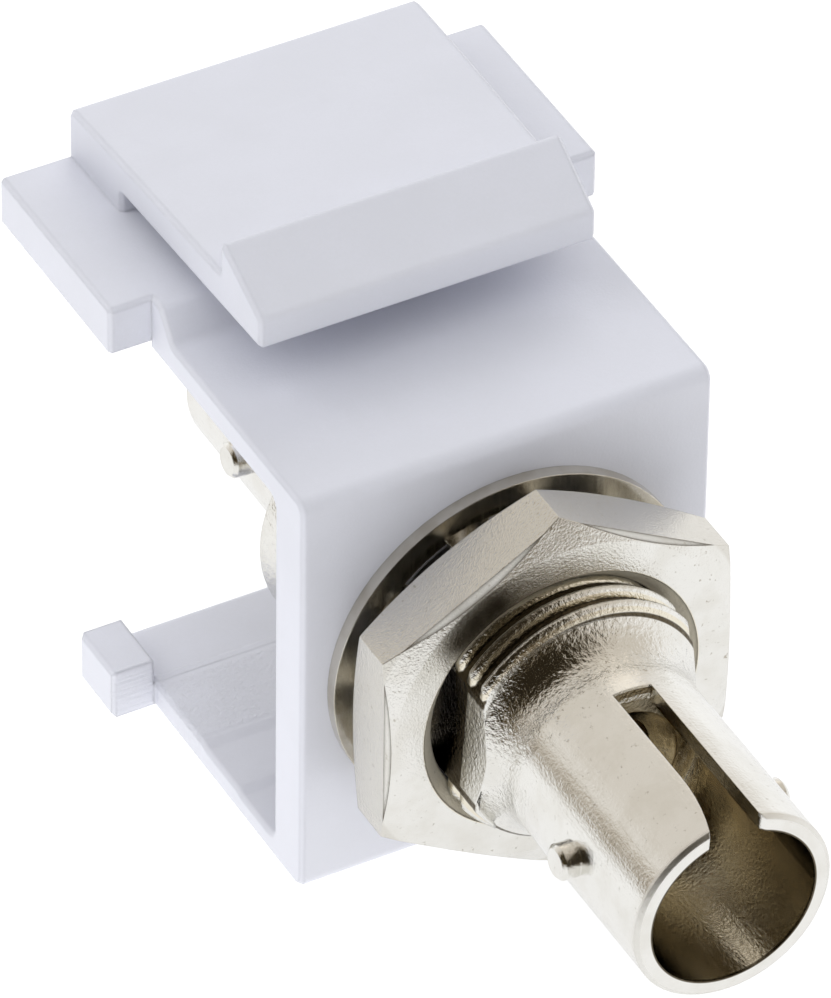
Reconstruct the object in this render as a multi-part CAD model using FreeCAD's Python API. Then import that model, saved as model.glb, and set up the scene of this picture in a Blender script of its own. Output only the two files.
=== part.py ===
import FreeCAD
import Part
import math
import os

from FreeCAD import Vector

# A bayonet fibre coupler held by a nut in a white snap-in keystone housing.
# Sizes are in millimetres. The port axis is Y, the front port looks along -Y and +Z is up.
# The origin is where the port axis crosses the front face of the housing.

# Housing shell: front wall, top wall and bottom wall, open at both sides and at the back
HOUSING_W = 14.5
AXIS_TO_TOP = 7.9
AXIS_TO_BOTTOM = 7.95
FRONT_WALL = 1.86
TOP_WALL = 1.05
BOTTOM_WALL = 1.0
FRONT_TOP_ROUND = 0.5
FRONT_BOTTOM_ROUND = 0.4
INNER_ROUND = 0.4
WALL_END_ROUND = 0.3
EDGE_BEVEL = 0.13

# Shallow steps on the inside of the bottom wall, each measured from the front face
FLOOR_STEP_REAR = 6.8
FLOOR_STEP_FRONT = 4.4
FLOOR_STEP_H = 0.1
FLOOR_STEP_RUN = 0.35

# Shoulders that bear on the back of the panel, and the raised plate that carries the upper pair
SEAT_DEPTH = 10.15
SHOULDER_OVERHANG = 1.48
SHOULDER_T = 1.85
UPPER_SHOULDER_LEN = 7.65
LOWER_SHOULDER_LEN = 2.3
BOTTOM_TAIL = 0.3
PLATE_RISE = 1.05
PLATE_LEAD = 0.58
PLATE_RAMP = 0.8

# Latch finger on the raised plate, rooted at the back, with its hook in front of the panel
PANEL_GRIP = 2.25
LATCH_W = 12.5
LATCH_TIP_W = 11.9
LATCH_T = 1.25
LATCH_GAP = 0.78
LATCH_ROOT = 3.45
LATCH_RISE = 0.1
LATCH_REAR_DROP = 0.15
HOOK_H = 1.3
HOOK_LEN = 2.6
TIP_DROP = 0.1
LATCH_ROUND = 0.15
TIP_ROUND = 0.3

# Fixed hook under the bottom wall
LOWER_HOOK_W = 12.0
LOWER_GRIP = 3.3
LOWER_HOOK_H = 1.1
LOWER_HOOK_LEN = 2.4
LOWER_HOOK_FLAT = 0.5

# Barrels of the coupler, the same at both ends
BORE_D = 5.75
BARREL_WALL = 0.575
FRONT_REACH = 14.6
REAR_REACH = 15.25
NECK_LEN = 1.25
NECK_RISE = 0.55
MOUTH_ROUND = 0.12
LUG_D = 1.2
LUG_H = 0.6
LUG_FROM_MOUTH = 4.05
LUG_BEVEL = 0.12
KEYWAY_W = 1.36
KEYWAY_LEN = 6.95
KEYWAY_LEAD = 0.45
KEYWAY_LEAD_LEN = 2.65
KEYWAY_CORNER = 0.25

# Threaded neck with two flats, flange behind the front wall, and collar of the rear half.
# The thread itself is left plain at its minor diameter.
THREAD_MAJOR_D = 9.52
THREAD_DEPTH = 0.46
THREAD_REACH = 5.3
THREAD_END_BEVEL = 0.25
NECK_FLATS = 7.5
FLANGE_T = 2.0
COLLAR_D = 10.0
COLLAR_LEN = 3.5
SPIGOT_WALL = 1.15
SPIGOT_LEN = 4.4

# Split sleeve and the lips that trap it
SLEEVE_ID = 2.5
SLEEVE_WALL = 0.35
SLEEVE_LEN = 11.4
SLEEVE_SLIT = 0.5
LIP_T = 1.8
LEAD_IN_WIDTH = 0.65
LEAD_IN_DEPTH = 0.6

# Lock washer with twisted inner teeth
WASHER_RING = 0.9
WASHER_T = 0.45
TOOTH_COUNT = 10
TOOTH_LEN = 0.54
TOOTH_W = 1.6
TOOTH_T = 0.4
TOOTH_STAND = 1.27
TOOTH_ROOT = 0.15

# Hexagonal nut
NUT_AF = 12.3
NUT_T = 2.4
NUT_COUNTERSINK = 0.54
NUT_EDGE_BEVEL = 0.12
NUT_EDGE_LEN = 0.32

# Chamfer of the hexagons
HEX_FACE_INSET = 0.15
HEX_CHAMFER_DEG = 22.0

# The nut's torque leaves the coupler turned a little in its hole, clockwise seen from the front
COUPLER_TURN = 3.5

# Clearances
HOLE_CLEARANCE = 0.1
FLANGE_CLEARANCE = 0.2
THREAD_CLEARANCE = 0.06
SPIGOT_CLEARANCE = 0.02
SLEEVE_CLEARANCE = 0.05
SLEEVE_END_PLAY = 0.1
LIP_CLEARANCE = 0.2
TOOTH_CLEARANCE = 0.15

# Diameter of the plain neck and of the hole in the nut
THREAD_MINOR_D = THREAD_MAJOR_D - 2 * THREAD_DEPTH
NUT_BORE_D = THREAD_MINOR_D + 2 * THREAD_CLEARANCE

# Radii of the lock washer, from the thread outwards
TOOTH_TIP_R = THREAD_MAJOR_D / 2 + TOOTH_CLEARANCE
WASHER_INNER_R = TOOTH_TIP_R + TOOTH_LEN
WASHER_OD = 2 * (WASHER_INNER_R + WASHER_RING)

# Diameters of what lies around a ferrule, from the sleeve outwards
SLEEVE_OD = SLEEVE_ID + 2 * SLEEVE_WALL
POCKET_D = SLEEVE_OD + 2 * SLEEVE_CLEARANCE
SPIGOT_D = POCKET_D + 2 * SPIGOT_WALL
LIP_D = SLEEVE_ID + 2 * LIP_CLEARANCE
LEAD_IN_D = LIP_D + 2 * LEAD_IN_WIDTH
BARREL_D = BORE_D + 2 * BARREL_WALL
LUG_SPAN = BARREL_D + 2 * LUG_H

# The corners of the flange point up and down, and just clear the top and bottom walls
FLANGE_CORNER_R = min(AXIS_TO_TOP - TOP_WALL, AXIS_TO_BOTTOM - BOTTOM_WALL) - FLANGE_CLEARANCE
FLANGE_AF = math.sqrt(3) * FLANGE_CORNER_R

# Stations along the port axis
FRONT_MOUTH = -FRONT_REACH
REAR_MOUTH = REAR_REACH
NUT_REAR = -TOOTH_STAND
NUT_FRONT = NUT_REAR - NUT_T
FLANGE_REAR = FRONT_WALL + FLANGE_T
COLLAR_END = FLANGE_REAR + COLLAR_LEN
SPIGOT_TIP = FLANGE_REAR - SPIGOT_LEN
MID_Y = (FRONT_MOUTH + REAR_MOUTH) / 2
POCKET_FRONT = MID_Y - SLEEVE_LEN / 2 - SLEEVE_END_PLAY
POCKET_REAR = MID_Y + SLEEVE_LEN / 2 + SLEEVE_END_PLAY
FRONT_FLOOR = POCKET_FRONT - LIP_T
REAR_FLOOR = POCKET_REAR + LIP_T

# Depth of the bottom wall and of the raised plate behind the front face
BOTTOM_DEPTH = SEAT_DEPTH + LOWER_SHOULDER_LEN + BOTTOM_TAIL
TOP_DEPTH = SEAT_DEPTH + UPPER_SHOULDER_LEN

# Levels of the raised plate and the latch finger
PLATE_TOP = AXIS_TO_TOP + PLATE_RISE
PLATE_UNDER = PLATE_TOP - SHOULDER_T
LATCH_UNDER = PLATE_TOP + LATCH_GAP
LATCH_TOP = LATCH_UNDER + LATCH_T
HOOK_DEPTH = SEAT_DEPTH - PANEL_GRIP
TIP_DEPTH = HOOK_DEPTH - HOOK_LEN

# The washer's teeth are pressed a little thinner than its ring
TOOTH_SINK = (WASHER_T - TOOTH_T) / 2

OVERLAP = 1.0
SAME_PLACE = 1e-6
AXIS = Vector(0, 1, 0)


def rounded_wire(corners):
    """Close a flat outline of (point, corner radius) pairs, with each corner as a tangent arc."""
    edges = []
    starts = []
    ends = []
    middles = []
    for i, (corner, radius) in enumerate(corners):
        back = (corners[i - 1][0] - corner).normalize()
        ahead = (corners[(i + 1) % len(corners)][0] - corner).normalize()
        half = back.getAngle(ahead) / 2
        run = radius / math.tan(half)
        bisector = (back + ahead).normalize()
        starts.append(corner + back * run)
        ends.append(corner + ahead * run)
        middles.append(corner + bisector * (radius / math.sin(half) - radius))
    for i, (corner, radius) in enumerate(corners):
        if radius > 0:
            edges.append(Part.Arc(starts[i], middles[i], ends[i]).toShape())
        edges.append(Part.LineSegment(ends[i], starts[(i + 1) % len(corners)]).toShape())
    return Part.Wire(edges)


def side_profile(corners, width):
    """Extrude a (y, z, corner radius) outline across the housing, centred on the port axis."""
    wire = rounded_wire([(Vector(-width / 2, y, z), radius) for y, z, radius in corners])
    return Part.Face(wire).extrude(Vector(width, 0, 0))


def box(x0, x1, y0, y1, z0, z1):
    return Part.makeBox(x1 - x0, y1 - y0, z1 - z0, Vector(x0, y0, z0))


def cylinder(diameter, y0, y1):
    return Part.makeCylinder(diameter / 2, y1 - y0, Vector(0, y0, 0), AXIS)


def turned(edges):
    """Revolve a closed chain of edges in the X-Y plane about the port axis."""
    return Part.Face(Part.Wire(edges)).revolve(Vector(0, 0, 0), AXIS, 360)


def turned_outline(points):
    """Revolve a closed (radius, y) outline of straight lines about the port axis."""
    corners = [Vector(radius, y, 0) for radius, y in points]
    return turned(Part.makePolygon(corners + corners[:1]).Edges)


def flare_middle(length, rise):
    """Half-way point of an arc that starts along its length and ends at (length, rise)."""
    radius = (length ** 2 + rise ** 2) / (2 * rise)
    half_angle = math.asin(length / radius) / 2
    return radius * math.sin(half_angle), radius * (1 - math.cos(half_angle))


def edges_where(shape, test):
    """Straight edges whose two end points both pass the test."""
    return [
        edge
        for edge in shape.Edges
        if isinstance(edge.Curve, Part.Line) and all(test(vertex.Point) for vertex in edge.Vertexes)
    ]


def at(value, target):
    return abs(value - target) < SAME_PLACE


def hexagon(across_flats, y):
    """Hexagon across the port axis, with flats facing +X and -X."""
    corner_r = across_flats / math.sqrt(3)
    corners = [
        Vector(corner_r * math.sin(math.radians(60 * k)), y, corner_r * math.cos(math.radians(60 * k)))
        for k in range(6)
    ]
    return Part.makePolygon(corners + corners[:1])


def chamfered_hexagon(across_flats, y0, y1):
    """Hexagonal prism with both faces turned to a cone at the corners."""
    prism = Part.Face(hexagon(across_flats, y0)).extrude(Vector(0, y1 - y0, 0))
    corner_r = across_flats / math.sqrt(3)
    face_r = across_flats / 2 - HEX_FACE_INSET
    depth = (corner_r + OVERLAP - face_r) * math.tan(math.radians(HEX_CHAMFER_DEG))
    cone = turned_outline([
        (0, y0),
        (face_r, y0),
        (corner_r + OVERLAP, y0 + depth),
        (corner_r + OVERLAP, y1 - depth),
        (face_r, y1),
        (0, y1),
    ])
    return prism.common(cone)


# Housing


def shell():
    """C-shaped side outline of the three walls, with the ramp up to the raised plate."""
    top = AXIS_TO_TOP
    bottom = -AXIS_TO_BOTTOM
    ceiling = top - TOP_WALL
    floor = bottom + BOTTOM_WALL
    middle_floor = floor - FLOOR_STEP_H
    front_floor = middle_floor - FLOOR_STEP_H
    plate_front = SEAT_DEPTH - PLATE_LEAD
    plate_middle = PLATE_TOP - SHOULDER_T / 2
    solid = side_profile([
        (0, bottom, FRONT_BOTTOM_ROUND),
        (BOTTOM_DEPTH, bottom, WALL_END_ROUND),
        (BOTTOM_DEPTH, floor, WALL_END_ROUND),
        (FLOOR_STEP_REAR, floor, 0),
        (FLOOR_STEP_REAR - FLOOR_STEP_RUN, middle_floor, 0),
        (FLOOR_STEP_FRONT, middle_floor, 0),
        (FLOOR_STEP_FRONT - FLOOR_STEP_RUN, front_floor, 0),
        (FRONT_WALL, front_floor, INNER_ROUND),
        (FRONT_WALL, ceiling, INNER_ROUND),
        (SEAT_DEPTH, ceiling, 0),
        (SEAT_DEPTH, plate_middle, 0),
        (SEAT_DEPTH + OVERLAP, plate_middle, 0),
        (SEAT_DEPTH + OVERLAP, PLATE_TOP, 0),
        (plate_front, PLATE_TOP, WALL_END_ROUND),
        (plate_front - PLATE_RAMP, top, INNER_ROUND),
        (0, top, FRONT_TOP_ROUND),
    ], HOUSING_W)
    sides = [edge for edge in solid.Edges if all(at(abs(v.Point.x), HOUSING_W / 2) for v in edge.Vertexes)]
    sides = [edge for edge in sides if at(edge.CenterOfMass.x, edge.Vertexes[0].Point.x)]
    ahead = SEAT_DEPTH - SAME_PLACE
    open_edges = [edge for edge in sides if any(v.Point.z < 0 or v.Point.y < ahead for v in edge.Vertexes)]
    return solid.makeChamfer(EDGE_BEVEL, open_edges)


def upper_shoulders():
    """Slab that stands out at both sides of the raised plate."""
    reach = HOUSING_W / 2 + SHOULDER_OVERHANG
    slab = box(-reach, reach, SEAT_DEPTH, TOP_DEPTH, PLATE_UNDER, PLATE_TOP)
    ends = edges_where(slab, lambda point: at(abs(point.x), reach))
    return slab.makeChamfer(EDGE_BEVEL, ends)


def lower_shoulder(side):
    """Block beside the back edge of the bottom wall, on the side given as +1 or -1."""
    reach = HOUSING_W / 2 + SHOULDER_OVERHANG
    root = HOUSING_W / 2 - OVERLAP
    bottom = -AXIS_TO_BOTTOM
    back = SEAT_DEPTH + LOWER_SHOULDER_LEN
    block = box(root, reach, SEAT_DEPTH, back, bottom, bottom + SHOULDER_T)
    trim = box(0, HOUSING_W / 2, SEAT_DEPTH, back, bottom + BOTTOM_WALL / 2, bottom + 2 * SHOULDER_T)
    ends = edges_where(block, lambda point: at(point.x, reach))
    block = block.makeChamfer(EDGE_BEVEL, ends).cut(trim)
    if side < 0:
        block = block.mirror(Vector(0, 0, 0), Vector(1, 0, 0))
    return block


def latch_half_width(y):
    """Half the width of the finger, which changes evenly from its root to its tip."""
    share = (y - TIP_DEPTH) / (TOP_DEPTH - TIP_DEPTH)
    return (LATCH_TIP_W + share * (LATCH_W - LATCH_TIP_W)) / 2


def latch():
    """Springy finger with its root block and hook."""
    slot_end = TOP_DEPTH - LATCH_ROOT
    ahead = TIP_DEPTH - OVERLAP
    behind = TOP_DEPTH + OVERLAP
    plan = [
        Vector(-latch_half_width(ahead), ahead, 0),
        Vector(latch_half_width(ahead), ahead, 0),
        Vector(latch_half_width(behind), behind, 0),
        Vector(-latch_half_width(behind), behind, 0),
    ]
    taper = Part.Face(Part.makePolygon(plan + plan[:1])).extrude(Vector(0, 0, LATCH_TOP + HOOK_H + OVERLAP))
    solid = side_profile([
        (TOP_DEPTH, PLATE_TOP - SHOULDER_T / 2, 0),
        (TOP_DEPTH, LATCH_TOP - LATCH_REAR_DROP, TIP_ROUND),
        (slot_end, LATCH_TOP, 0),
        (HOOK_DEPTH, LATCH_TOP + LATCH_RISE, LATCH_ROUND),
        (HOOK_DEPTH, LATCH_TOP + LATCH_RISE + HOOK_H, LATCH_ROUND),
        (TIP_DEPTH, LATCH_TOP + LATCH_RISE - TIP_DROP, TIP_ROUND),
        (TIP_DEPTH, LATCH_UNDER + LATCH_RISE, LATCH_ROUND),
        (slot_end, LATCH_UNDER, LATCH_ROUND),
        (slot_end, PLATE_TOP - SHOULDER_T / 2, 0),
    ], max(LATCH_W, LATCH_TIP_W) + OVERLAP).common(taper)
    upper = edges_where(
        solid,
        lambda point: point.z > LATCH_UNDER + LATCH_T / 2 and at(abs(point.x), latch_half_width(point.y)),
    )
    return solid.makeChamfer(EDGE_BEVEL, upper)


def lower_hook():
    """Fixed ridge under the bottom wall, with a ramp towards the front."""
    back = SEAT_DEPTH - LOWER_GRIP
    front = back - LOWER_HOOK_LEN
    bottom = -AXIS_TO_BOTTOM
    root = bottom + BOTTOM_WALL / 2
    return side_profile([
        (back, root, 0),
        (back, bottom - LOWER_HOOK_H, LATCH_ROUND),
        (back - LOWER_HOOK_FLAT, bottom - LOWER_HOOK_H, LATCH_ROUND),
        (front, bottom, 0),
        (front, root, 0),
    ], LOWER_HOOK_W)


def neck_section(diameter, flats, y0, y1):
    """Round bar with two flats facing +X and -X."""
    reach = diameter / 2 + OVERLAP
    return cylinder(diameter, y0, y1).common(box(-flats / 2, flats / 2, y0, y1, -reach, reach))


def turned_neck_width():
    """Width across the flats of the neck once the coupler is turned: its corners reach furthest."""
    turn = math.radians(COUPLER_TURN)
    half_flats = min(NECK_FLATS, THREAD_MAJOR_D) / 2
    corner_height = math.sqrt((THREAD_MAJOR_D / 2) ** 2 - half_flats ** 2)
    return 2 * (half_flats * math.cos(turn) + corner_height * math.sin(turn))


def keystone_housing():
    solid = shell().fuse([upper_shoulders(), lower_shoulder(1), lower_shoulder(-1), latch(), lower_hook()])
    hole = neck_section(
        THREAD_MAJOR_D + 2 * HOLE_CLEARANCE,
        turned_neck_width() + 2 * HOLE_CLEARANCE,
        -OVERLAP,
        FRONT_WALL + OVERLAP,
    )
    return solid.cut(hole).removeSplitter()


# Coupler


def stepped_bar(mouth, neck_start, root_d, root_bevel, root_end):
    """Barrel that flares through a curved neck into a thicker root. The mouth is its free end."""
    inward = 1 if root_end > mouth else -1
    neck_end = neck_start + inward * NECK_LEN
    barrel_r = BARREL_D / 2
    root_r = root_d / 2
    along, rise = flare_middle(NECK_LEN, NECK_RISE)
    neck = Part.Arc(
        Vector(barrel_r, neck_start, 0),
        Vector(barrel_r + rise, neck_start + inward * along, 0),
        Vector(barrel_r + NECK_RISE, neck_end, 0),
    )
    before = [(0, mouth), (barrel_r - MOUTH_ROUND, mouth), (barrel_r, mouth + inward * MOUTH_ROUND)]
    before.append((barrel_r, neck_start))
    after = [(barrel_r + NECK_RISE, neck_end), (root_r, neck_end + inward * root_bevel)]
    after += [(root_r, root_end), (0, root_end)]
    lower = Part.makePolygon([Vector(radius, y, 0) for radius, y in before]).Edges
    upper = Part.makePolygon([Vector(radius, y, 0) for radius, y in after + before[:1]]).Edges
    return turned(lower + [neck.toShape()] + upper)


def port(mouth, floor, pocket):
    """Space inside one end: bore, cone that leads the ferrule in, and the hole through the lip."""
    inward = 1 if floor > mouth else -1
    return turned_outline([
        (0, mouth - inward * OVERLAP),
        (BORE_D / 2, mouth - inward * OVERLAP),
        (BORE_D / 2, floor),
        (LEAD_IN_D / 2, floor),
        (LIP_D / 2, floor + inward * LEAD_IN_DEPTH),
        (LIP_D / 2, pocket + inward * OVERLAP),
        (0, pocket + inward * OVERLAP),
    ])


def keyway(mouth, inward):
    """Slot through the top of a barrel, with a curved lead-in on one edge at the mouth."""
    half = KEYWAY_W / 2
    outside = -OVERLAP
    along, rise = flare_middle(KEYWAY_LEAD_LEN, KEYWAY_LEAD)
    flare_start = Vector(-half, KEYWAY_LEAD_LEN, 0)
    flare_middle_point = Vector(-half - rise, KEYWAY_LEAD_LEN - along, 0)
    flare_end = Vector(-half - KEYWAY_LEAD, 0, 0)
    corner_start = Vector(half + KEYWAY_CORNER, 0, 0)
    corner_inset = KEYWAY_CORNER * (1 - math.sqrt(0.5))
    corner_middle = Vector(half + corner_inset, corner_inset, 0)
    corner_end = Vector(half, KEYWAY_CORNER, 0)
    straight = [corner_end, Vector(half, KEYWAY_LEN, 0), Vector(-half, KEYWAY_LEN, 0), flare_start]
    across = [
        flare_end,
        Vector(flare_end.x, outside, 0),
        Vector(corner_start.x, outside, 0),
        corner_start,
    ]
    edges = Part.makePolygon(straight).Edges
    edges.append(Part.Arc(flare_start, flare_middle_point, flare_end).toShape())
    edges += Part.makePolygon(across).Edges
    edges.append(Part.Arc(corner_start, corner_middle, corner_end).toShape())
    slot = Part.Face(Part.Wire(edges)).extrude(Vector(0, 0, BARREL_D))
    if inward < 0:
        slot.rotate(Vector(0, 0, 0), Vector(0, 0, 1), 180)
    slot.translate(Vector(0, mouth, 0))
    return slot


def lugs(mouth, inward):
    """Two bayonet studs, a quarter turn from the keyway."""
    root = (BORE_D + BARREL_D) / 4
    y = mouth + inward * LUG_FROM_MOUTH
    studs = []
    for side in (1, -1):
        foot = Vector(side * root, y, 0)
        stud = Part.makeCylinder(LUG_D / 2, LUG_SPAN / 2 - root, foot, Vector(side, 0, 0))
        tip = [edge for edge in stud.Edges if all(at(abs(v.Point.x), LUG_SPAN / 2) for v in edge.Vertexes)]
        studs.append(stud.makeChamfer(LUG_BEVEL, tip))
    return studs


def clocked(solid):
    """Turn one half of the coupler to the place where the nut left it."""
    solid = solid.removeSplitter()
    solid.rotate(Vector(0, 0, 0), AXIS, COUPLER_TURN)
    return solid


def front_body():
    neck_start = -THREAD_REACH - NECK_LEN
    solid = stepped_bar(FRONT_MOUTH, neck_start, THREAD_MINOR_D, THREAD_END_BEVEL, FLANGE_REAR)
    for side in (1, -1):
        inner, outer = sorted((side * NECK_FLATS / 2, side * THREAD_MAJOR_D))
        solid = solid.cut(box(inner, outer, neck_start, FRONT_WALL, -THREAD_MAJOR_D, THREAD_MAJOR_D))
    solid = solid.fuse([chamfered_hexagon(FLANGE_AF, FRONT_WALL, FLANGE_REAR)] + lugs(FRONT_MOUTH, 1))
    pocket = cylinder(POCKET_D, POCKET_FRONT, FLANGE_REAR)
    socket = cylinder(SPIGOT_D, SPIGOT_TIP, FLANGE_REAR + OVERLAP)
    space = port(FRONT_MOUTH, FRONT_FLOOR, POCKET_FRONT)
    return clocked(solid.cut([space, pocket, socket, keyway(FRONT_MOUTH, 1)]))


def rear_body():
    neck_start = COLLAR_END + NECK_LEN
    solid = stepped_bar(REAR_MOUTH, neck_start, COLLAR_D, THREAD_END_BEVEL, FLANGE_REAR)
    spigot = cylinder(SPIGOT_D - 2 * SPIGOT_CLEARANCE, SPIGOT_TIP, FLANGE_REAR + OVERLAP)
    solid = solid.fuse([spigot] + lugs(REAR_MOUTH, -1))
    pocket = cylinder(POCKET_D, SPIGOT_TIP - OVERLAP, POCKET_REAR)
    space = port(REAR_MOUTH, REAR_FLOOR, POCKET_REAR)
    return clocked(solid.cut([space, pocket, keyway(REAR_MOUTH, -1)]))


def alignment_sleeve():
    front = MID_Y - SLEEVE_LEN / 2
    rear = MID_Y + SLEEVE_LEN / 2
    ring = cylinder(SLEEVE_OD, front, rear).cut(cylinder(SLEEVE_ID, front - OVERLAP, rear + OVERLAP))
    slit = box(-SLEEVE_SLIT / 2, SLEEVE_SLIT / 2, front - OVERLAP, rear + OVERLAP, -SLEEVE_OD, 0)
    return ring.cut(slit)


# Fasteners


def tooth_section(radius, turn):
    """Rectangle across one tooth, turned about the tooth's own radial line and laid on the ring's back."""
    sine = math.sin(turn)
    cosine = math.cos(turn)
    height = TOOTH_W * sine + TOOTH_T * cosine
    centre_y = -TOOTH_SINK - height / 2
    corners = []
    for u, v in ((-1, -1), (1, -1), (1, 1), (-1, 1)):
        across = u * TOOTH_W / 2
        depth = v * TOOTH_T / 2
        x = across * cosine - depth * sine
        y = centre_y + across * sine + depth * cosine
        corners.append(Vector(x, y, radius))
    return Part.makePolygon(corners + corners[:1])


def lock_washer():
    """Flat ring whose inner teeth twist until they span the gap from housing to nut."""
    ring = cylinder(WASHER_OD, -WASHER_T, 0).cut(cylinder(2 * WASHER_INNER_R, -OVERLAP, OVERLAP))
    span = TOOTH_STAND - TOOTH_SINK
    twist = math.asin(span / math.hypot(TOOTH_W, TOOTH_T)) - math.atan2(TOOTH_T, TOOTH_W)
    root = tooth_section(WASHER_INNER_R + TOOTH_ROOT, 0)
    tip = tooth_section(TOOTH_TIP_R, twist)
    tooth = Part.makeLoft([root, tip], True, True)
    teeth = []
    for k in range(TOOTH_COUNT):
        copy = tooth.copy()
        copy.rotate(Vector(0, 0, 0), AXIS, 360 * (k + 0.5) / TOOTH_COUNT)
        teeth.append(copy)
    return ring.fuse(teeth).removeSplitter()


def hex_nut():
    """Nut whose six front edges are dressed back to a steep narrow bevel."""
    front_af = NUT_AF - 2 * NUT_EDGE_BEVEL
    spread = 2 * NUT_EDGE_BEVEL * NUT_T / NUT_EDGE_LEN
    taper = Part.makeLoft([hexagon(front_af, NUT_FRONT), hexagon(front_af + spread, NUT_REAR)], True, True)
    bore_r = NUT_BORE_D / 2
    mouth_r = bore_r + NUT_COUNTERSINK
    hole = turned_outline([
        (0, NUT_FRONT),
        (mouth_r, NUT_FRONT),
        (bore_r, NUT_FRONT + NUT_COUNTERSINK),
        (bore_r, NUT_REAR - NUT_COUNTERSINK),
        (mouth_r, NUT_REAR),
        (0, NUT_REAR),
    ])
    return chamfered_hexagon(NUT_AF, NUT_FRONT, NUT_REAR).common(taper).cut(hole)


PIECES = (keystone_housing, front_body, rear_body, alignment_sleeve, lock_washer, hex_nut)

os.makedirs("parts", exist_ok=True)
for piece in PIECES:
    shape = piece()
    solids = shape.Solids
    if len(solids) != 1 or not shape.isValid():
        raise ValueError(f"{piece.__name__}: {len(solids)} solids, valid {shape.isValid()}")
    solids[0].exportStep(f"parts/{piece.__name__}.step")
    print(piece.__name__, round(solids[0].Volume, 2), "mm3")
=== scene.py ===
import math
from collections import namedtuple

import bpy
from mathutils import Matrix, Vector


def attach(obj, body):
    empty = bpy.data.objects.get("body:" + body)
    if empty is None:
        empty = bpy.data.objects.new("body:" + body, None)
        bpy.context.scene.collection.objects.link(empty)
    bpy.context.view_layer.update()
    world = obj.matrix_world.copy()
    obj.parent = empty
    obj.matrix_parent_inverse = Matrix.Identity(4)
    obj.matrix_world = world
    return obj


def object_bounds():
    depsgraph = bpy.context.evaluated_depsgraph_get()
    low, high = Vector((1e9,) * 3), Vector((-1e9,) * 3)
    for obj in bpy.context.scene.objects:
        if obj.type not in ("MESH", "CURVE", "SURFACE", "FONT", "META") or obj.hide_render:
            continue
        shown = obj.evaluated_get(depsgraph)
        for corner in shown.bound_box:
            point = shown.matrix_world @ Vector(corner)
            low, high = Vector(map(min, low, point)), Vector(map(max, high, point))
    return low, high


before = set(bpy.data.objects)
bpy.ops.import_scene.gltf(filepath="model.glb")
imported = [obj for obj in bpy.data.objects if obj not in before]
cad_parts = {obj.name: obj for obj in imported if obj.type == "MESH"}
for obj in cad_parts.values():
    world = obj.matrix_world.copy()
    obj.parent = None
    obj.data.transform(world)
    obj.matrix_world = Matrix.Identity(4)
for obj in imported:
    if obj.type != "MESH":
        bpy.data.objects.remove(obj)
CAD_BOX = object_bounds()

# A band of colour lies between two ends along the port axis and two radii about it; some are real marks,
# others painted shade or a painted highlight.
StainOrLight = namedtuple("StainOrLight", "span radii colour")
# A pebbled zone lies between two ends along the port axis and within an outer radius.
Pebbles = namedtuple("Pebbles", "span outer scale depth")

# Sizes of lights, tent and table and the camera's clipping are in metres, all others in millimetres.
# A direction is an azimuth from +Y towards +X, and an elevation, in degrees.
MM = 0.001

# The camera as it stood for the photograph, with its picture size in pixels.
IMAGE_SIZE = (831, 998)
CAMERA_SIDE = (208.8175, 40.021)
CAMERA_ROLL = 0.7863
CAMERA_TARGET = (6.3674, 17.5615, -10.1083)
CAMERA_DISTANCE = 381.373
FOCAL_PIXELS = 11459.8
SENSOR = 36.0
CLIP_START = 0.01
CLIP_END = 10

# Light levels, where 1 is white.
SKY_LEVEL = 0.47
FLOOR_GLOW_SEEN = 0.9
FLOOR_GLOW_CAST = 1.27
FLOOR_GLOW_MIRRORED = 0.82
FLOOR_GREY = 0.25
FLOOR_RADIUS = 0.15
FLOOR_SIDES = 96
RIGHT_LIGHT = (42, 30)
RIGHT_LEVEL = 0.27
LEFT_LIGHT = (-65, 45)
LEFT_LEVEL = 0.24
TOP_LIGHT = (180, 68)
TOP_LEVEL = 0.19
LIGHT_DISTANCE = 0.7
LIGHT_SIZE = 0.6

# The tent that only reflections see: dark round the camera and along the left horizon.
TENT_LEVEL = 1.12
TENT_RADIUS = 0.5
TENT_LOW = -14
TENT_HIGH = 89
TENT_RINGS = 26
TENT_SIDES = 48
DARK_SIDE = (-140, 45)
DARK_HORIZON = (-132, 0)
TAN_SIDE = (85, 55)
LAMP = (36, 40)
LAMP_LEVEL = 1.6

# Where each part of the tent fades in, as the cosine of the angle to its direction or as a height.
DARK_FADE = (0.35, 0.85)
HORIZON_FADE = (-0.35, 0.45)
HORIZON_HEIGHTS = (-0.3, 0.3)
HORIZON_SOFT = 0.2
HORIZON_SHARE = 0.8
TAN_FADE = (0.5, 0.9)
TAN_SHARE = 0.4
OVERHEAD_FADE = (0.1, 0.5)
OVERHEAD_SHARE = 0.32
LAMP_FADE = (0.955, 0.985)
TENT_LIGHT = (1, 1, 1, 1)
TENT_DARK = (0.02, 0.015, 0.008, 1)
TENT_TONES = (
    (0.4, (0.62, 0.57, 0.50, 1)),
    (0.75, (0.14, 0.105, 0.06, 1)),
)

# Colours, as linear red, green and blue.
PLASTIC = (0.755, 0.765, 0.835)
PLASTIC_SHADE = (0.735, 0.745, 0.81)
NICKEL = (0.81, 0.80, 0.765)
NICKEL_SHADE = (0.76, 0.745, 0.70)
NICKEL_PAINTED_SHADE = (0.70, 0.68, 0.63)
BORE_STAIN = (0.70, 0.64, 0.51)
LIP_STAIN = (0.68, 0.65, 0.58)
STRAW = (0.80, 0.75, 0.63)
# A dark brown, for the small pits and for darker lines and patches inside the front port.
DARK_BROWN = (0.30, 0.25, 0.17)
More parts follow.
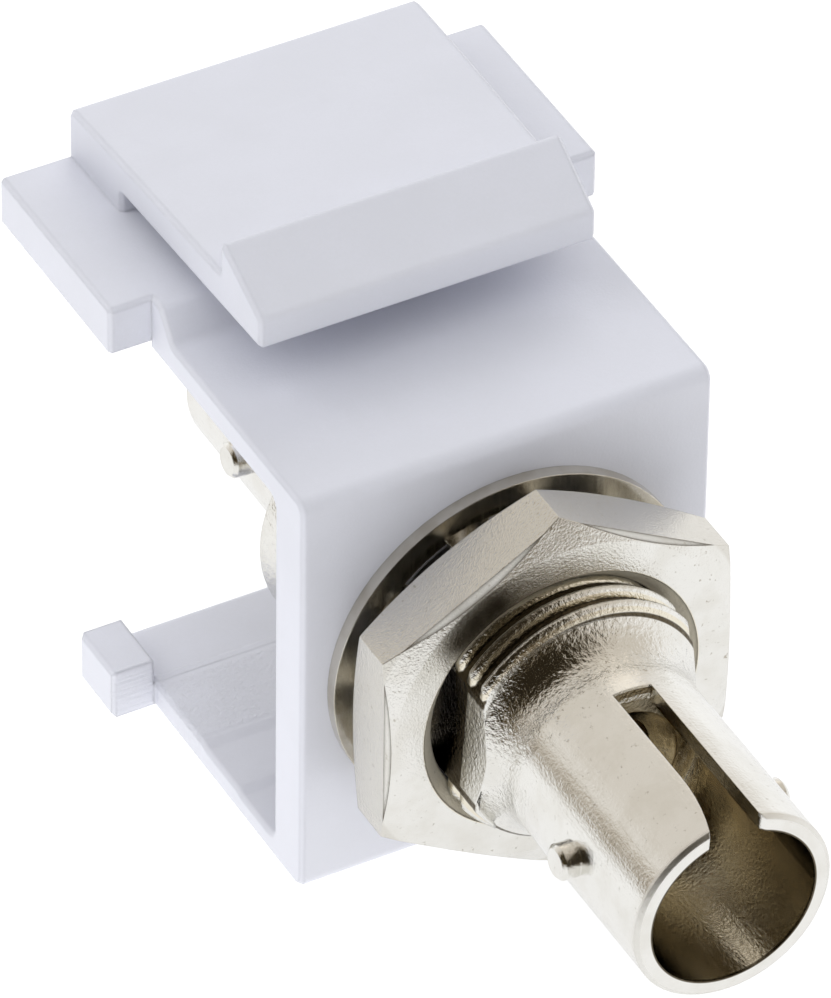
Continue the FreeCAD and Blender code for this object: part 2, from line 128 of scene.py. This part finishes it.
# Painted shade: the near-black laid in the thread's roots, round the port's rim, on the neck under the nut,
# in the nut's hole, along its bevel creases and in its patches of painted dark reflection.
PAINTED_SHADE = (0.10, 0.08, 0.05)
WASHER = (0.72, 0.69, 0.62)
WASHER_SHADE = (0.60, 0.56, 0.48)
BRONZE = (0.66, 0.46, 0.24)
BRONZE_SHADE = (0.50, 0.33, 0.16)

# Radii that soften the edges.
PLASTIC_EDGE = 0.2
METAL_EDGE = 0.06
BURR_EDGE = 0.2
EDGE_SAMPLES = 4

# A scale is the number of a noise's features in a millimetre, and a stretch is that for each axis.
# Levels are the two values of a noise between which a look changes.
WIDE_LEVELS = (0.3, 0.7)
CLOSE_LEVELS = (0.35, 0.65)

# The plastic: spark marks on the inside of the bottom wall, tool lines on the front of its blocks.
PLASTIC_GLOSS = 0.4
PLASTIC_ROUGHNESS = (0.46, 0.58)
PLASTIC_CLOUD_SCALE = 0.35
PLASTIC_CLOUD_SHARE = 0.7
PLASTIC_SPECK_SCALE = 9.0
PLASTIC_SPECK_SHARE = 0.3
GRAIN_SCALE = 11.0
GRAIN_DEPTH = 0.006
RIPPLE_SCALE = 0.9
RIPPLE_DEPTH = 0.02
SPARK_SPAN = (7.0, 9.9)
SPARK_FADE = 0.1
SPARK_BELOW = (-6.6, -6.9)
SPARK_SCALE = 6.0
SPARK_DEPTH = 0.05
LINE_SPAN = (10.05, 10.3)
LINE_FADE = 0.05
LINE_BELOW = (-5.6, -5.8)
LINE_STRETCH = (0.4, 0.4, 7.0)
LINE_DEPTH = 0.05

# The nickel: its skin, brushed lines along the port axis, and small pits and dents. Pairs of shares are
# for outside and inside, the skin's of the bores and the pits' of the cast zone.
CLOUD_SCALE = 0.8
CLOUD_LEVELS = (0.32, 0.62)
SPECK_SCALE = 5.0
SKIN_SCALE = 9.0
SKIN_DEPTH = 0.012
SKIN_SHARES = (0.9, 0.6)
BRUSH_STRETCH = (9.0, 0.35, 9.0)
BRUSH_LEVELS = (0.45, 0.72)
BRUSH_DEPTH = 0.0018
DULL_LEVELS = (0.5, 0.75)
BRUSH_ROUGHNESS = 0.08
DENT_LEVELS = (0.38, 0.26)
DENT_DEPTH = 0.004
PIT_LEVELS = (0.36, 0.26)
PIT_SHARES = (0.25, 0.6)
POLISH = (0.09, 0.15)
BORE_POLISH = 0.75
PEBBLE_FADE = 0.3
PEBBLE_EDGE = 0.02
STAIN_FADE = 0.03
STAIN_EDGE = 0.02

# The front port and its worn rim.
MOUTH_Y = CAD_BOX[0].y / MM
BORE_R = 2.9
BORE_FADE = 0.05
WORN_DEPTHS = (0.3, 0.15)
WORN_RADII = (3.25, 3.35)
WORN_ROUGHNESS = 0.3

# The nut's torn bevels and countersink, known by how far their normals lean towards +Y.
BEVEL_LEAN = (-0.45, -0.25)
COUNTERSINK_LEAN = (-0.76, -0.65)
COUNTERSINK_SHARE = 0.9
LEAN_FADE = 0.03
CREASE = (0.9993, 0.994)
TORN_ROUGHNESS = 0.5
TORN_METALLIC = 0.4

# Centres and radii of the patches of painted dark reflection on the front of the nut.
DARK_REFLECTION_SHARE = 0.9
DARK_REFLECTIONS = (
    ((-2.4, -3.67, 4.8), 0.95),
    ((-3.15, -3.67, 4.35), 1.1),
    ((-3.75, -3.67, 3.8), 0.95),
)

# Stains, painted shade and painted highlights, and pebbles of the castings and the nut. A radius of AXIS
# takes in the axis itself.
AXIS = -1
EVERYWHERE = (-20, 20)
PORT_FLOOR = (-7.45, -7.25)
KEYWAY_END = (-7.75, -7.55)
THREADED = (-5.15, -3.3)
PORT_STAIN = StainOrLight(EVERYWHERE, (AXIS, BORE_R), BORE_STAIN)
# Painted shade: a thin dark line round the inside of the front port's rim.
RIM_SHADE_LINE = StainOrLight((MOUTH_Y - 0.4, MOUTH_Y + 0.1), (2.86, 2.92), PAINTED_SHADE)
LIP = StainOrLight((-7.45, -3), (AXIS, 2.78), LIP_STAIN)
# A thin dark ring on the port's floor at the edge of the lip's hole.
LIP_LINE = StainOrLight(PORT_FLOOR, (2.02, 2.12), DARK_BROWN)
# Painted highlight: a bright ring where the port's floor meets its wall.
FLOOR_GLINT = StainOrLight(PORT_FLOOR, (2.8, 2.9), NICKEL)
# Darker colour on the keyway's end wall.
KEYWAY_END_DARK = StainOrLight(KEYWAY_END, (3.1, 3.36), DARK_BROWN)
# Painted golden reflection on the thread's crests and flanks.
THREAD_CREST_SHEEN = StainOrLight(THREADED, (4.32, 4.46), STRAW)
# Painted shade in the roots of the thread.
THREAD_ROOT_SHADE = StainOrLight(THREADED, (4.2, 4.32), PAINTED_SHADE)
# Painted shade on the neck's flats and under the nut.
NECK_SHADE = StainOrLight((-4.15, 2), (3.6, 4.27), PAINTED_SHADE)
FRONT_STAINS_AND_LIGHT = (
    PORT_STAIN, RIM_SHADE_LINE, LIP, LIP_LINE, FLOOR_GLINT, KEYWAY_END_DARK, THREAD_CREST_SHEEN, THREAD_ROOT_SHADE, NECK_SHADE,
)
REAR_STAINS = (PORT_STAIN,)
# Painted shade: the nut's flat sides in a darker nickel.
NUT_SIDE_SHADE = StainOrLight((-3.35, 0), (6.05, 9), NICKEL_PAINTED_SHADE)
COUNTERSINK_STAIN = StainOrLight((-5, 0), (AXIS, 4.92), STRAW)
# Painted shade in the nut's hole, in the gap round the neck.
NUT_HOLE_SHADE = StainOrLight((-3.1, 0), (AXIS, 4.4), PAINTED_SHADE)
NUT_STAINS_AND_SHADE = (NUT_SIDE_SHADE, COUNTERSINK_STAIN, NUT_HOLE_SHADE)
ALL_RADII = 20
FRONT_PEBBLES = (
    Pebbles((-7.0, 4.0), ALL_RADII, 5.5, 0.045),
    Pebbles((-7.8, -7.5), 3.36, 8.0, 0.06),
    Pebbles((-16, -10.5), BORE_R, 8.5, 0.013),
)
REAR_PEBBLES = (Pebbles((-1.0, 8.8), ALL_RADII, 5.5, 0.045),)
NUT_PEBBLES = (Pebbles((-4.5, 0.0), ALL_RADII, 12.0, 0.02),)

# The rolled marks on the washer and the drawn lines on the sleeve.
WASHER_SCALE = 0.9
ROLLED_STRETCH = (8.0, 8.0, 0.6)
ROLLED_ROUGHNESS = (0.12, 0.24)
DRAWN_STRETCH = (9.0, 0.4, 9.0)
DRAWN_ROUGHNESS = (0.18, 0.34)
FINE_DEPTH = 0.003

# The thread in front of the nut, with angles in degrees about the port axis from +X.
THREAD_PITCH = 25.4 / 32
THREAD_CREST_R = 4.58
THREAD_ROOT_R = 4.24
THREAD_FLAT_HALF = 3.73
THREAD_TURN = -3.5
THREAD_START = -330
THREAD_END = 580
THREAD_STEP = 3
THREAD_FADE = 50
THREAD_LEAST = 0.02
TINY = 1e-6
THREAD_AT = (141, -4.14)
NUT_BORE_R = 4.33
NUT_BORE_FROM = -3.13

# The thread's section: half widths as shares of the pitch, a shoulder just under the crest, and how far
# its foot sinks into the neck.
FOOT_HALF = 0.44
SHOULDER_HALF = 0.13
CREST_HALF = 0.06
SUNK_HALF = 0.30
SHOULDER_SHARE = 0.86
FOOT_SINK = 0.12


def towards(azimuth, elevation):
    """The direction at an azimuth from +Y towards +X, and an elevation."""
    a = math.radians(azimuth)
    e = math.radians(elevation)
    return Vector((math.sin(a) * math.cos(e), math.cos(a) * math.cos(e), math.sin(e)))


def new_object(name, points, faces):
    """A mesh object in the scene, from points in metres."""
    mesh = bpy.data.meshes.new(name)
    mesh.from_pydata([tuple(p) for p in points], [], faces)
    mesh.update()
    made = bpy.data.objects.new(name, mesh)
    bpy.context.scene.collection.objects.link(made)
    return made


class Nodes:
    """A material's or world's node tree, with short calls for the nodes used here."""

    def __init__(self, tree):
        self.tree = tree

    def add(self, kind, **values):
        made = self.tree.nodes.new(kind)
        for name, value in values.items():
            setattr(made, name, value)
        return made

    def join(self, source, target):
        """Links a socket, or sets a plain number, colour or vector."""
        if isinstance(source, bpy.types.NodeSocket):
            self.tree.links.new(source, target)
        else:
            target.default_value = source

    def maths(self, operation, first, second):
        made = self.add("ShaderNodeMath", operation=operation)
        self.join(first, made.inputs[0])
        self.join(second, made.inputs[1])
        return made.outputs[0]

    def ramp(self, value, low, high, to_low=0.0, to_high=1.0):
        """A smooth change from to_low at low to to_high at high."""
        made = self.add("ShaderNodeMapRange", interpolation_type="SMOOTHSTEP")
        self.join(value, made.inputs["Value"])
        made.inputs["From Min"].default_value = low
        made.inputs["From Max"].default_value = high
        made.inputs["To Min"].default_value = to_low
        made.inputs["To Max"].default_value = to_high
        return made.outputs["Result"]

    def band(self, value, low, high, soft):
        """1 between low and high, and 0 outside."""
        rise = self.ramp(value, low - soft, low + soft)
        fall = self.ramp(value, high - soft, high + soft, 1.0, 0.0)
        return self.maths("MULTIPLY", rise, fall)

    def blend(self, share, first, second):
        made = self.add("ShaderNodeMix", data_type="RGBA")
        self.join(share, made.inputs[0])
        self.join((*first, 1) if isinstance(first, tuple) else first, made.inputs[6])
        self.join((*second, 1) if isinstance(second, tuple) else second, made.inputs[7])
        return made.outputs[2]

    def place(self):
        """The point on the object, in millimetres."""
        source = self.add("ShaderNodeTexCoord")
        made = self.add("ShaderNodeVectorMath", operation="SCALE")
        self.join(source.outputs["Object"], made.inputs[0])
        made.inputs["Scale"].default_value = 1 / MM
        return made.outputs["Vector"]

    def axes(self, vector):
        made = self.add("ShaderNodeSeparateXYZ")
        self.join(vector, made.inputs[0])
        return made.outputs[0], made.outputs[1], made.outputs[2]

    def distance(self, vector, centre):
        made = self.add("ShaderNodeVectorMath", operation="DISTANCE")
        self.join(vector, made.inputs[0])
        made.inputs[1].default_value = centre
        return made.outputs["Value"]

    def dot(self, first, second):
        made = self.add("ShaderNodeVectorMath", operation="DOT_PRODUCT")
        self.join(first, made.inputs[0])
        self.join(second, made.inputs[1])
        return made.outputs["Value"]

    def stretched(self, vector, factors):
        made = self.add("ShaderNodeVectorMath", operation="MULTIPLY")
        self.join(vector, made.inputs[0])
        made.inputs[1].default_value = factors
        return made.outputs["Vector"]

    def noise(self, vector, scale, detail, roughness=0.5):
        made = self.add("ShaderNodeTexNoise")
        self.join(vector, made.inputs["Vector"])
        made.inputs["Scale"].default_value = scale
        made.inputs["Detail"].default_value = detail
        made.inputs["Roughness"].default_value = roughness
        return made.outputs[0]

    def bump(self, height, depth, below=None):
        """A normal from a height of 0 to 1 that stands for a depth in millimetres."""
        made = self.add("ShaderNodeBump")
        made.inputs["Strength"].default_value = 1
        made.inputs["Distance"].default_value = depth * MM
        self.join(height, made.inputs["Height"])
        if below is not None:
            self.join(below, made.inputs["Normal"])
        return made.outputs["Normal"]

    def rounded_edges(self, radius):
        """A normal that runs smoothly over sharp edges, with a radius in millimetres."""
        made = self.add("ShaderNodeBevel", samples=EDGE_SAMPLES)
        made.inputs["Radius"].default_value = radius * MM
        return made.outputs["Normal"]


def new_material(name):
    """A material with its node tree and its surface shader."""
    material = bpy.data.materials.new(name)
    material.use_nodes = True
    shader = material.node_tree.nodes["Principled BSDF"]
    return material, Nodes(material.node_tree), shader


def plastic_material():
    """Moulded white plastic: a fine matte grain, coarser spark marks inside, faint tool lines."""
    material, n, shader = new_material("moulded_plastic")
    place = n.place()
    y, z = n.axes(place)[1:]
    cloud = n.noise(place, PLASTIC_CLOUD_SCALE, detail=3)
    speck = n.noise(place, PLASTIC_SPECK_SCALE, detail=2)
    clouded = n.maths("MULTIPLY", cloud, PLASTIC_CLOUD_SHARE)
    tone = n.maths("ADD", clouded, n.maths("MULTIPLY", speck, PLASTIC_SPECK_SHARE))
    n.join(n.blend(n.ramp(tone, *CLOSE_LEVELS), PLASTIC_SHADE, PLASTIC), shader.inputs["Base Color"])
    n.join(n.ramp(speck, *WIDE_LEVELS, *PLASTIC_ROUGHNESS), shader.inputs["Roughness"])
    shader.inputs["Specular IOR Level"].default_value = PLASTIC_GLOSS
    grain = n.noise(place, GRAIN_SCALE, detail=3, roughness=0.6)
    surface = n.bump(grain, GRAIN_DEPTH, n.rounded_edges(PLASTIC_EDGE))
    surface = n.bump(n.noise(place, RIPPLE_SCALE, detail=2), RIPPLE_DEPTH, surface)
    inside = n.maths("MULTIPLY", n.band(y, *SPARK_SPAN, SPARK_FADE), n.ramp(z, *SPARK_BELOW))
    sparks = n.noise(place, SPARK_SCALE, detail=3, roughness=0.6)
    surface = n.bump(n.maths("MULTIPLY", sparks, inside), SPARK_DEPTH, surface)
    block = n.maths("MULTIPLY", n.band(y, *LINE_SPAN, LINE_FADE), n.ramp(z, *LINE_BELOW))
    lines = n.noise(n.stretched(place, LINE_STRETCH), 1.0, detail=3)
    surface = n.bump(n.maths("MULTIPLY", lines, block), LINE_DEPTH, surface)
    n.join(surface, shader.inputs["Normal"])
    return material


def stained_and_lit(n, colour, y, radius, stains_and_light):
    """The colour with each band laid over it in turn, real marks and painted light and shade alike."""
    for stain_or_light in stains_and_light:
        along = n.band(y, *stain_or_light.span, STAIN_FADE)
        around = n.band(radius, *stain_or_light.radii, STAIN_EDGE)
        colour = n.blend(n.maths("MULTIPLY", along, around), colour, stain_or_light.colour)
    return colour


def torn_share(n, normal):
    """How torn the metal is: fully on the nut's steep front bevels, nearly so in its countersink."""
    lean = n.axes(normal)[1]
    countersink = n.maths("MULTIPLY", n.band(lean, *COUNTERSINK_LEAN, LEAN_FADE), COUNTERSINK_SHARE)
    return n.maths("ADD", n.band(lean, *BEVEL_LEAN, LEAN_FADE), countersink)


def with_painted_shade(n, colour, place, normal, torn):
    """The colour with painted shade in the creases of torn metal and patches of painted dark reflection on
    the front of the nut.
    """
    # Painted shade along the edges of the torn bevels.
    crease = n.ramp(n.dot(n.rounded_edges(BURR_EDGE), normal), *CREASE)
    colour = n.blend(n.maths("MULTIPLY", torn, crease), colour, PAINTED_SHADE)
    # Painted dark reflection in patches on the front of the nut.
    for centre, size in DARK_REFLECTIONS:
        share = n.ramp(n.distance(place, centre), size, 0.0, 0.0, DARK_REFLECTION_SHARE)
        colour = n.blend(share, colour, PAINTED_SHADE)
    return colour


def nickel_roughness(n, y, radius, cloud, brushed, bore):
    """Polished with brushed lines, smoother inside the ports and worn dull on the front rim."""
    brush = n.ramp(brushed, *DULL_LEVELS, 0.0, BRUSH_ROUGHNESS)
    polish = n.maths("ADD", n.ramp(cloud, *WIDE_LEVELS, *POLISH), brush)
    polish = n.maths("MULTIPLY", polish, n.ramp(bore, 0, 1, 1.0, BORE_POLISH))
    rim = n.ramp(y, *(MOUTH_Y + depth for depth in WORN_DEPTHS))
    worn = n.maths("MULTIPLY", rim, n.ramp(radius, *WORN_RADII))
    return n.maths("ADD", polish, n.maths("MULTIPLY", worn, WORN_ROUGHNESS))


def pebbled(n, surface, place, y, radius, pebbles):
    """The surface with the grains of each pebbled zone."""
    for zone in pebbles:
        within = n.ramp(radius, zone.outer + PEBBLE_EDGE, zone.outer - PEBBLE_EDGE)
        share = n.maths("MULTIPLY", n.band(y, *zone.span, PEBBLE_FADE), within)
        grains = n.noise(place, zone.scale, detail=3, roughness=0.6)
        surface = n.bump(n.maths("MULTIPLY", grains, share), zone.depth, surface)
    return surface


def nickel_material(name, pebbles, stains_and_light, burred=False):
    """Bright nickel over a casting. The first pebbled zone is also the most pitted one.

    On a burred piece the steep front bevels are torn and dull, with painted shade in their creases and
    patches of painted dark reflection on the front.
    """
    material, n, shader = new_material(name)
    place = n.place()
    x, y, z = n.axes(place)
    radius = n.maths("POWER", n.maths("ADD", n.maths("POWER", x, 2), n.maths("POWER", z, 2)), 0.5)
    cloud = n.noise(place, CLOUD_SCALE, detail=4, roughness=0.6)
    speck = n.noise(place, SPECK_SCALE, detail=3, roughness=0.65)
    brushed = n.noise(n.stretched(place, BRUSH_STRETCH), 1.0, detail=4, roughness=0.7)
    bore = n.ramp(radius, BORE_R + BORE_FADE, BORE_R)
    colour = n.blend(n.ramp(cloud, *CLOUD_LEVELS), NICKEL_SHADE, NICKEL)
    colour = stained_and_lit(n, colour, y, radius, stains_and_light)
    roughness = nickel_roughness(n, y, radius, cloud, brushed, bore)
    shader.inputs["Metallic"].default_value = 1
    if burred:
        normal = n.add("ShaderNodeNewGeometry").outputs["Normal"]
        torn = torn_share(n, normal)
        colour = with_painted_shade(n, colour, place, normal, torn)
        roughness = n.maths("ADD", roughness, n.maths("MULTIPLY", torn, TORN_ROUGHNESS))
        n.join(n.ramp(torn, 0, 1, 1.0, TORN_METALLIC), shader.inputs["Metallic"])
    cast = n.band(y, *pebbles[0].span, PEBBLE_FADE)
    pits = n.maths("MULTIPLY", n.ramp(speck, *PIT_LEVELS), n.ramp(cast, 0, 1, *PIT_SHARES))
    n.join(n.blend(pits, colour, DARK_BROWN), shader.inputs["Base Color"])
    n.join(roughness, shader.inputs["Roughness"])
    skin = n.noise(place, SKIN_SCALE, detail=3, roughness=0.6)
    skin = n.maths("MULTIPLY", skin, n.ramp(bore, 0, 1, *SKIN_SHARES))
    surface = n.bump(skin, SKIN_DEPTH, n.rounded_edges(METAL_EDGE))
    surface = pebbled(n, surface, place, y, radius, pebbles)
    surface = n.bump(n.ramp(brushed, *BRUSH_LEVELS), BRUSH_DEPTH, surface)
    surface = n.bump(n.ramp(speck, *DENT_LEVELS), DENT_DEPTH, surface)
    n.join(surface, shader.inputs["Normal"])
    return material


def washer_material():
    """Plated spring steel with the rolled marks left on its faces."""
    material, n, shader = new_material("washer_plate")
    shader.inputs["Metallic"].default_value = 1
    place = n.place()
    cloud = n.noise(place, WASHER_SCALE, detail=3)
    n.join(n.blend(n.ramp(cloud, *CLOSE_LEVELS), WASHER_SHADE, WASHER), shader.inputs["Base Color"])
    rolled = n.noise(n.stretched(place, ROLLED_STRETCH), 1.0, detail=4, roughness=0.6)
    n.join(n.ramp(rolled, *WIDE_LEVELS, *ROLLED_ROUGHNESS), shader.inputs["Roughness"])
    n.join(n.bump(rolled, FINE_DEPTH, n.rounded_edges(METAL_EDGE)), shader.inputs["Normal"])
    return material


def bronze_material():
    """Drawn bronze with fine lines along the sleeve."""
    material, n, shader = new_material("sleeve_bronze")
    shader.inputs["Metallic"].default_value = 1
    drawn = n.noise(n.stretched(n.place(), DRAWN_STRETCH), 1.0, detail=4, roughness=0.6)
    n.join(n.blend(n.ramp(drawn, *WIDE_LEVELS), BRONZE_SHADE, BRONZE), shader.inputs["Base Color"])
    n.join(n.ramp(drawn, *WIDE_LEVELS, *DRAWN_ROUGHNESS), shader.inputs["Roughness"])
    n.join(n.bump(drawn, FINE_DEPTH), shader.inputs["Normal"])
    return material


def paint(node, material):
    """Gives a piece of the frame one material."""
    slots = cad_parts[node].data.materials
    slots.clear()
    slots.append(material)


def thread_profile(height):
    """Offsets along the axis, in pitches, and radii round one thread, for a height of 0 to 1."""
    crest = THREAD_ROOT_R + (THREAD_CREST_R - THREAD_ROOT_R) * height
    shoulder = THREAD_ROOT_R + (crest - THREAD_ROOT_R) * SHOULDER_SHARE
    sunk = THREAD_ROOT_R - FOOT_SINK
    return (
        (-FOOT_HALF, THREAD_ROOT_R),
        (-SHOULDER_HALF, shoulder),
        (-CREST_HALF, crest),
        (CREST_HALF, crest),
        (SHOULDER_HALF, shoulder),
        (FOOT_HALF, THREAD_ROOT_R),
        (SUNK_HALF, sunk),
        (-SUNK_HALF, sunk),
    )


def thread_section(angle):
    """The points round the thread at one angle, cut off at the neck's two flats and in the nut."""
    at_angle, at_y = THREAD_AT
    ends = min(angle - THREAD_START, THREAD_END - angle) / THREAD_FADE
    height = min(1.0, max(THREAD_LEAST, ends))
    a = math.radians(angle)
    centre = at_y - THREAD_PITCH * (angle - at_angle) / 360
    across = abs(math.cos(math.radians(angle - THREAD_TURN)))
    limit = THREAD_FLAT_HALF / max(across, TINY)
    points = []
    for along, radius in thread_profile(height):
        y = centre + along * THREAD_PITCH
        r = min(radius, limit, NUT_BORE_R + max(0.0, NUT_BORE_FROM - y))
        points.append(Vector((r * math.cos(a), y, r * math.sin(a))) * MM)
    return points


def make_thread(material):
    """The turns of thread that stand in front of the nut."""
    count = int((THREAD_END - THREAD_START) / THREAD_STEP) + 1
    per = len(thread_profile(1))
    points = []
    faces = []
    for i in range(count):
        points.extend(thread_section(THREAD_START + i * THREAD_STEP))
    for i in range(count - 1):
        for j in range(per):
            k = (j + 1) % per
            faces.append((i * per + j, i * per + k, (i + 1) * per + k, (i + 1) * per + j))
    faces.append(tuple(range(per - 1, -1, -1)))
    faces.append(tuple((count - 1) * per + j for j in range(per)))
    thread = new_object("neck_thread", points, faces)
    thread.data.polygons.foreach_set("use_smooth", [True] * len(thread.data.polygons))
    thread.data.materials.append(material)
    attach(thread, "root")


def make_camera():
    """The camera, aimed at its target and rolled about its own axis."""
    r = math.radians(CAMERA_ROLL)
    back = towards(*CAMERA_SIDE)
    level_right = (-back).cross(Vector((0, 0, 1))).normalized()
    level_up = level_right.cross(-back)
    right = level_right * math.cos(r) + level_up * math.sin(r)
    up = level_up * math.cos(r) - level_right * math.sin(r)
    data = bpy.data.cameras.new("camera")
    data.sensor_width = SENSOR
    data.lens = FOCAL_PIXELS / max(IMAGE_SIZE) * SENSOR
    data.clip_start = CLIP_START
    data.clip_end = CLIP_END
    camera = bpy.data.objects.new("camera", data)
    turn = Matrix((right, up, back)).transposed().to_4x4()
    place = (Vector(CAMERA_TARGET) + back * CAMERA_DISTANCE) * MM
    camera.matrix_world = Matrix.Translation(place) @ turn
    bpy.context.scene.collection.objects.link(camera)
    bpy.context.scene.camera = camera


def make_world():
    """White where the camera and reflections see it, and dimmer where it lights the object."""
    world = bpy.data.worlds.new("studio")
    bpy.context.scene.world = world
    world.use_nodes = True
    n = Nodes(world.node_tree)
    background = world.node_tree.nodes["Background"]
    background.inputs["Color"].default_value = (1, 1, 1, 1)
    path = n.add("ShaderNodeLightPath")
    seen = n.maths("MAXIMUM", path.outputs["Is Camera Ray"], path.outputs["Is Glossy Ray"])
    seen = n.maths("MAXIMUM", seen, path.outputs["Is Transmission Ray"])
    n.join(n.ramp(seen, 0, 1, SKY_LEVEL, 1.0), background.inputs["Strength"])


def make_floor():
    """A round white table that glows a little, so that the object's shadow stays faint."""
    z = CAD_BOX[0].z
    points = []
    for i in range(FLOOR_SIDES):
        a = math.tau * i / FLOOR_SIDES
        points.append((FLOOR_RADIUS * math.cos(a), FLOOR_RADIUS * math.sin(a), z))
    floor = new_object("floor", points, [tuple(range(FLOOR_SIDES))])
    material, n, shader = new_material("floor")
    shader.inputs["Base Color"].default_value = (FLOOR_GREY, FLOOR_GREY, FLOOR_GREY, 1)
    shader.inputs["Specular IOR Level"].default_value = 0
    shader.inputs["Emission Color"].default_value = (1, 1, 1, 1)
    path = n.add("ShaderNodeLightPath")
    mirrored = n.ramp(path.outputs["Is Glossy Ray"], 0, 1, FLOOR_GLOW_CAST, FLOOR_GLOW_MIRRORED)
    seen = n.maths("MULTIPLY", path.outputs["Is Camera Ray"], FLOOR_GLOW_SEEN - FLOOR_GLOW_CAST)
    n.join(n.maths("ADD", mirrored, seen), shader.inputs["Emission Strength"])
    floor.data.materials.append(material)


def tent_darkness(n, direction):
    """How dark the tent is in a direction, from 0 to 1."""
    room = n.ramp(n.dot(direction, towards(*DARK_SIDE)), *DARK_FADE)
    z = n.axes(direction)[2]
    low = n.band(z, *HORIZON_HEIGHTS, HORIZON_SOFT)
    horizon = n.maths("MULTIPLY", low, n.ramp(n.dot(direction, towards(*DARK_HORIZON)), *HORIZON_FADE))
    tan = n.ramp(n.dot(direction, towards(*TAN_SIDE)), *TAN_FADE, 0.0, TAN_SHARE)
    overhead = n.maths("MAXIMUM", tan, n.ramp(z, *OVERHEAD_FADE, 0.0, OVERHEAD_SHARE))
    sides = n.maths("MAXIMUM", room, n.maths("MULTIPLY", horizon, HORIZON_SHARE))
    return n.maths("MAXIMUM", sides, overhead)


def tent_material():
    """A glow that only reflections meet, from white to nearly black, with one brighter lamp in it."""
    material = bpy.data.materials.new("tent")
    material.use_nodes = True
    material.node_tree.nodes.clear()
    n = Nodes(material.node_tree)
    source = n.add("ShaderNodeTexCoord")
    unit = n.add("ShaderNodeVectorMath", operation="NORMALIZE")
    n.join(source.outputs["Object"], unit.inputs[0])
    direction = unit.outputs["Vector"]
    shade = n.add("ShaderNodeValToRGB")
    n.join(tent_darkness(n, direction), shade.inputs["Fac"])
    stops = shade.color_ramp.elements
    stops[0].color = TENT_LIGHT
    stops[1].color = TENT_DARK
    for at, colour in TENT_TONES:
        stops.new(at).color = colour
    lamp = n.dot(direction, towards(*LAMP))
    glow = n.add("ShaderNodeEmission")
    n.join(shade.outputs["Color"], glow.inputs["Color"])
    n.join(n.ramp(lamp, *LAMP_FADE, TENT_LEVEL, LAMP_LEVEL), glow.inputs["Strength"])
    out = n.add("ShaderNodeOutputMaterial")
    n.join(glow.outputs[0], out.inputs["Surface"])
    material.cycles.emission_sampling = "NONE"
    return material


def make_tent():
    """A dome that only reflections see, so that the metal has something to mirror."""
    points = []
    faces = []
    for i in range(TENT_RINGS + 1):
        elevation = TENT_LOW + i * (TENT_HIGH - TENT_LOW) / TENT_RINGS
        for j in range(TENT_SIDES):
            points.append(towards(j * 360 / TENT_SIDES, elevation) * TENT_RADIUS)
    for i in range(TENT_RINGS):
        for j in range(TENT_SIDES):
            k = (j + 1) % TENT_SIDES
            low = i * TENT_SIDES
            high = low + TENT_SIDES
            faces.append((low + j, low + k, high + k, high + j))
    tent = new_object("tent", points, faces)
    tent.data.materials.append(tent_material())
    tent.visible_camera = False
    tent.visible_diffuse = False
    tent.visible_transmission = False
    tent.visible_shadow = False


def make_light(name, direction, level):
    """A round soft light. Level is what it adds to a white face turned to it."""
    aim = (CAD_BOX[0] + CAD_BOX[1]) / 2
    radius = LIGHT_SIZE / 2
    area = math.pi * radius ** 2
    radiance = level * (LIGHT_DISTANCE ** 2 + radius ** 2) / radius ** 2
    data = bpy.data.lights.new(name, "AREA")
    data.shape = "DISK"
    data.size = LIGHT_SIZE
    data.energy = radiance * math.pi * area
    light = bpy.data.objects.new(name, data)
    light.location = aim + towards(*direction) * LIGHT_DISTANCE
    light.rotation_mode = "QUATERNION"
    light.rotation_quaternion = (aim - light.location).to_track_quat("-Z", "Y")
    light.visible_glossy = False
    bpy.context.scene.collection.objects.link(light)


bpy.context.scene.view_settings.view_transform = "Standard"
make_camera()
make_world()
make_floor()
make_tent()
make_light("right_light", RIGHT_LIGHT, RIGHT_LEVEL)
make_light("left_light", LEFT_LIGHT, LEFT_LEVEL)
make_light("top_light", TOP_LIGHT, TOP_LEVEL)

front_nickel = nickel_material("cast_nickel_front", FRONT_PEBBLES, FRONT_STAINS_AND_LIGHT)
paint("keystone_housing", plastic_material())
paint("front_body", front_nickel)
paint("rear_body", nickel_material("cast_nickel_rear", REAR_PEBBLES, REAR_STAINS))
paint("hex_nut", nickel_material("cast_nickel_nut", NUT_PEBBLES, NUT_STAINS_AND_SHADE, burred=True))
paint("lock_washer", washer_material())
paint("alignment_sleeve", bronze_material())
make_thread(front_nickel)
